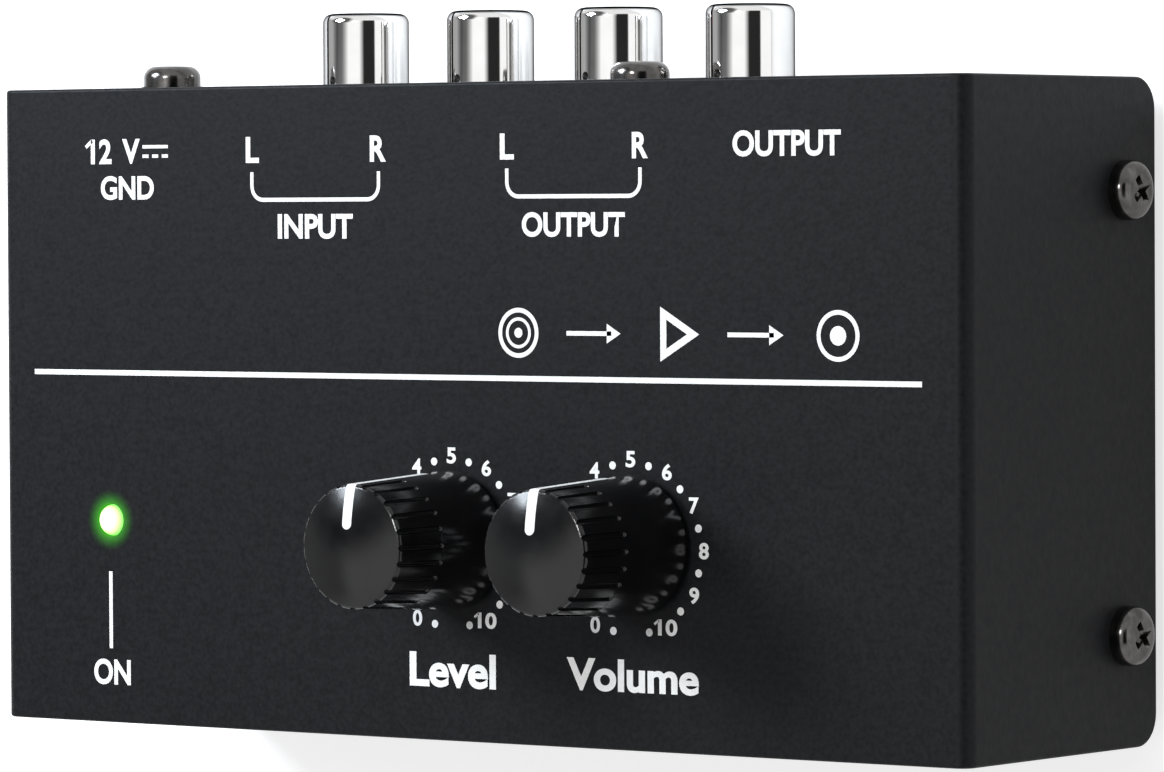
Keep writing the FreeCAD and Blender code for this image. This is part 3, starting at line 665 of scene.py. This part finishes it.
def makeLens():
    low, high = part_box("led_lens")
    middle = (low + high) / 2
    flangeRadius = (high.x - low.x) / 2
    flangeHeight = lens["flangeHeight"] * mm
    bpy.ops.object.select_all(action="DESELECT")
    bpy.ops.mesh.primitive_cylinder_add(vertices=lens["sides"], radius=flangeRadius, depth=flangeHeight,
                                        location=(middle.x, middle.y, low.z + flangeHeight / 2))
    piece = bpy.context.object
    settle(piece)
    top = selectTop(piece)
    bpy.ops.mesh.inset(thickness=flangeRadius - lens["stemRadius"] * mm)
    bpy.ops.mesh.extrude_region_move(TRANSFORM_OT_translate={"value": (0, 0, high.z - top)})
    bpy.ops.mesh.bevel(offset=lens["crown"] * mm, segments=lens["crownSteps"], profile=0.5, affect="EDGES")
    bpy.ops.object.mode_set(mode="OBJECT")
    bpy.ops.object.shade_smooth_by_angle(angle=math.radians(lens["smoothAngle"]))
    piece.name = "pilot_lens"
    piece.data.name = "pilot_lens"
    piece.data.materials.append(materials["lampResin"])
    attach(piece, "case")
    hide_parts("led_lens")


# Print on the panel: millimetres from the middle and from the front edge

ink = {
    "thickness": 0.03,
    "boldness": 0.03,
    "curveSteps": 6,
    "merge": 0.002,
}


def panelPoint(x, y):
    return Vector((x * mm, frontEdge + y * mm, panelTop))


def printWord(word, left, right, top, bottom):
    bpy.ops.object.select_all(action="DESELECT")
    bpy.ops.object.text_add(location=(0, 0, 0))
    letters = bpy.context.object
    letters.data.body = word
    letters.data.offset = ink["boldness"]
    letters.data.resolution_u = ink["curveSteps"]
    bpy.ops.object.convert(target="MESH")
    letters = bpy.context.object
    low, high = meshBox(letters)
    corner = panelPoint(left, bottom)
    wider = (right - left) * mm / (high.x - low.x)
    taller = (top - bottom) * mm / (high.y - low.y)
    letters.scale = (wider, taller, 1)
    letters.location = corner - Vector((low.x * wider, low.y * taller, 0))
    settle(letters)
    return letters


# Shares of the numeral's height, and the slope in degrees
numeralFlag = {"length": 0.42, "width": 0.15, "left": 0.10, "down": 0.19, "slope": 38}


def printFlag(x, top, height):
    # the stroke that leads into the top of a numeral 1
    size = height * mm
    bpy.ops.object.select_all(action="DESELECT")
    bpy.ops.mesh.primitive_plane_add(size=1, location=(0, 0, 0))
    flag = bpy.context.object
    flag.scale = (numeralFlag["length"] * size, numeralFlag["width"] * size, 1)
    flag.rotation_euler = (0, 0, math.radians(numeralFlag["slope"]))
    flag.location = panelPoint(x, top) - Vector((numeralFlag["left"] * size, numeralFlag["down"] * size, 0))
    settle(flag)
    return flag


def printBar(left, right, top, bottom):
    bpy.ops.object.select_all(action="DESELECT")
    middle = panelPoint((left + right) / 2, (top + bottom) / 2)
    bpy.ops.mesh.primitive_plane_add(size=1, location=middle)
    bar = bpy.context.object
    bar.scale = ((right - left) * mm, (top - bottom) * mm, 1)
    settle(bar)
    return bar


def printDisc(x, y, radius, sides=20, turn=0.0, hole=0.0):
    # a filled disc, or a ring round a hole; with three sides a triangle
    bpy.ops.object.select_all(action="DESELECT")
    bpy.ops.mesh.primitive_circle_add(vertices=sides, radius=radius * mm, fill_type="NGON",
                                      location=panelPoint(x, y), rotation=(0, 0, math.radians(turn)))
    disc = bpy.context.object
    if hole:
        bpy.ops.object.mode_set(mode="EDIT")
        bpy.ops.mesh.select_all(action="SELECT")
        bpy.ops.mesh.inset(thickness=(radius - hole) * mm)
        bpy.ops.mesh.delete(type="FACE")
        bpy.ops.object.mode_set(mode="OBJECT")
    settle(disc)
    return disc


def printBracket(left, right, top, bottom, width, corner, cornerSteps, spareLines):
    # a frame with two round corners below, made a little taller and cut open at its top
    frameTop = top + spareLines * width
    bpy.ops.object.select_all(action="DESELECT")
    bpy.ops.mesh.primitive_plane_add(size=1, location=(0, 0, 0))
    piece = bpy.context.object
    piece.scale = ((right - left) * mm, (frameTop - bottom) * mm, 1)
    piece.location = panelPoint((left + right) / 2, (frameTop + bottom) / 2)
    settle(piece)
    bpy.ops.object.mode_set(mode="EDIT")
    bpy.ops.mesh.select_mode(type="VERT")
    bpy.ops.mesh.select_all(action="DESELECT")
    bpy.ops.object.mode_set(mode="OBJECT")
    middle = panelPoint(0, (frameTop + bottom) / 2).y
    for vertex in piece.data.vertices:
        vertex.select = vertex.co.y < middle
    bpy.ops.object.mode_set(mode="EDIT")
    bpy.ops.mesh.bevel(offset=corner * mm, offset_type="OFFSET", segments=cornerSteps, affect="VERTICES")
    bpy.ops.mesh.select_all(action="SELECT")
    bpy.ops.mesh.inset(thickness=width * mm)
    bpy.ops.mesh.delete(type="FACE")
    bpy.ops.mesh.select_all(action="SELECT")
    bpy.ops.mesh.bisect(plane_co=panelPoint(0, top), plane_no=(0, 1, 0), clear_outer=True)
    bpy.ops.object.mode_set(mode="OBJECT")
    return piece


def faceUp(piece):
    # print lies flat, so every face of it looks up
    bpy.ops.object.mode_set(mode="EDIT")
    bpy.ops.mesh.select_mode(type="FACE")
    bpy.ops.mesh.select_all(action="DESELECT")
    bpy.ops.object.mode_set(mode="OBJECT")
    for face in piece.data.polygons:
        face.select = face.normal.z < 0
    bpy.ops.object.mode_set(mode="EDIT")
    bpy.ops.mesh.flip_normals()
    bpy.ops.object.mode_set(mode="OBJECT")


def finishPrint(name, pieces):
    # one raised sheet of ink from flat shapes
    onlySelect(*pieces)
    if len(pieces) > 1:
        bpy.ops.object.join()
    joined = bpy.context.object
    joined.name = name
    joined.data.name = name
    bpy.ops.object.mode_set(mode="EDIT")
    bpy.ops.mesh.select_all(action="SELECT")
    bpy.ops.mesh.remove_doubles(threshold=ink["merge"] * mm)
    bpy.ops.object.mode_set(mode="OBJECT")
    faceUp(joined)
    bpy.ops.object.modifier_add(type="SOLIDIFY")
    joined.modifiers[-1].thickness = ink["thickness"] * mm
    joined.modifiers[-1].offset = 1
    bpy.ops.object.modifier_apply(modifier=joined.modifiers[-1].name)
    bpy.ops.object.shade_flat()
    joined.data.materials.clear()
    joined.data.materials.append(materials["whitePaint"])
    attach(joined, "case")


# word, left, right, top, bottom
legends = {
    "legend_power": [("12", -44.45, -41.85, 56.12, 53.73), ("V", -40.50, -38.30, 56.12, 53.73)],
    "legend_ground": [("GND", -43.22, -36.57, 52.58, 50.28)],
    "legend_input": [("L", -25.18, -23.59, 56.17, 53.71), ("R", -10.24, -8.34, 56.17, 53.71),
                     ("INPUT", -21.34, -12.32, 48.87, 46.53)],
    "legend_output": [("L", 4.98, 6.59, 56.2, 53.8), ("R", 19.99, 21.78, 56.2, 53.8),
                      ("OUTPUT", 7.46, 19.16, 48.97, 46.69)],
    "legend_phones": [("OUTPUT", 31.14, 42.88, 56.22, 53.86)],
    "legend_pilot": [("ON", -44.49, -39.88, 6.12, 3.64)],
    "legend_level": [("Level", -5.87, 4.19, 8.19, 4.95)],
    "legend_volume": [("Volume", 12.34, 27.17, 8.30, 5.30)],
}
steadyCurrent = {
    "left": -37.95,
    "right": -34.8,
    "upper": 55.35,
    "lower": 54.45,
    "width": 0.32,
    "dashes": 3,
    "gap": 0.45,
}
brackets = {
    "legend_input": {"left": -24.65, "right": -9.05, "top": 52.83, "bottom": 50.03},
    "legend_output": {"left": 5.57, "right": 21.07, "top": 52.98, "bottom": 50.22},
}
bracketLine = {"width": 0.38, "corner": 1.5, "cornerSteps": 8, "spareLines": 3}
pilotLine = {"x": -42.3, "top": 14.56, "bottom": 7.16, "width": 0.42}
panelRule = {"left": -51.8, "right": 51.4, "top": 33.95, "bottom": 33.45}


def printSteadyCurrent(left, right, upper, lower, width, dashes, gap):
    # a line over dashes
    half = width / 2
    pieces = [printBar(left, right, upper + half, upper - half)]
    pitch = (right - left + gap) / dashes
    for dash in range(dashes):
        start = left + dash * pitch
        pieces.append(printBar(start, start + pitch - gap, lower + half, lower - half))
    return pieces


def printPilotLine(x, top, bottom, width):
    return printBar(x - width / 2, x + width / 2, top, bottom)


def makeLegends():
    for name, words in legends.items():
        pieces = [printWord(*word) for word in words]
        for word, left, right, top, bottom in words:
            if word[0] == "1":
                pieces.append(printFlag(left, top, top - bottom))
        if name in brackets:
            pieces.append(printBracket(**brackets[name], **bracketLine))
        if name == "legend_power":
            pieces += printSteadyCurrent(**steadyCurrent)
        if name == "legend_pilot":
            pieces.append(printPilotLine(**pilotLine))
        finishPrint(name, pieces)
    finishPrint("panel_rule", [printBar(**panelRule)])


dials = {
    "level": {"x": -0.85, "y": 18.36},
    "volume": {"x": 19.66, "y": 18.40},
    "numberRadius": 8.13,
    "dotRadius": 7.80,
    "dotSize": 0.37,
    "digitWidth": 1.08,
    "tenWidth": 2.15,
    "digitHeight": 1.50,
    "step": 30.0,
    "start": -150.0,
    "numbers": 11,
    "dots": 12,
}


def roundDial(centre, radius, step):
    angle = math.radians(dials["start"] + step * dials["step"])
    return centre["x"] + radius * math.sin(angle), centre["y"] + radius * math.cos(angle)


def makeDial(name):
    # 0 to 10 round the knob with a dot between each two, clockwise from the lower left
    centre = dials[name]
    pieces = []
    for number in range(dials["numbers"]):
        x, y = roundDial(centre, dials["numberRadius"], number)
        width = dials["tenWidth"] if number == 10 else dials["digitWidth"]
        height = dials["digitHeight"]
        left = x if number == 1 else x - width / 2
        pieces.append(printWord(str(number), left, left + width, y + height / 2, y - height / 2))
        if number in (1, 10):
            pieces.append(printFlag(left, y + height / 2, height))
    for dot in range(dials["dots"]):
        x, y = roundDial(centre, dials["dotRadius"], dot - 0.5)
        pieces.append(printDisc(x, y, dials["dotSize"]))
    finishPrint("dial_" + name, pieces)


# A row of plain signs where a panel has its title: disc, arrow, amplifier triangle, arrow, socket.
# Places and line in millimetres, the rest as shares of the size or the line

signs = {
    "middle": 37.9,
    "size": 2.3,
    "line": 0.42,
    "ringSides": 40,
    "disc": {"place": 7.0, "groove": 0.62, "grooveSides": 36, "grooveLine": 0.7, "spindle": 0.2},
    "arrow": {"places": (15.5, 33.5), "length": 6.0, "head": 0.45, "headBack": 0.4},
    "triangle": {"place": 24.5, "radius": 1.25, "line": 1.6},
    "socket": {"place": 42.5, "pin": 0.38, "pinSides": 24},
    "pointRight": -90,
}


def printRing(place, radius, sides, turn, line):
    return printDisc(place, signs["middle"], radius, sides, turn, radius - line)


def printArrow(place):
    arrow, middle, line = signs["arrow"], signs["middle"], signs["line"]
    half = arrow["length"] / 2
    neck = place + half - signs["size"] * arrow["headBack"]
    shaft = printBar(place - half, neck, middle + line / 2, middle - line / 2)
    head = printDisc(neck, middle, signs["size"] * arrow["head"], 3, signs["pointRight"])
    return [shaft, head]


def makeSigns():
    middle, size, line, sides = signs["middle"], signs["size"], signs["line"], signs["ringSides"]
    disc, triangle, socket = signs["disc"], signs["triangle"], signs["socket"]
    pieces = [printRing(disc["place"], size, sides, 0, line)]
    pieces.append(printRing(disc["place"], size * disc["groove"], disc["grooveSides"], 0,
                            line * disc["grooveLine"]))
    pieces.append(printDisc(disc["place"], middle, size * disc["spindle"]))
    for place in signs["arrow"]["places"]:
        pieces += printArrow(place)
    pieces.append(printRing(triangle["place"], size * triangle["radius"], 3, signs["pointRight"],
                            line * triangle["line"]))
    pieces.append(printRing(socket["place"], size, sides, 0, line))
    pieces.append(printDisc(socket["place"], middle, size * socket["pin"], socket["pinSides"]))
    finishPrint("panel_signs", pieces)


makeLens()
makeLegends()
makeDial("level")
makeDial("volume")
makeSigns()
print("print made")
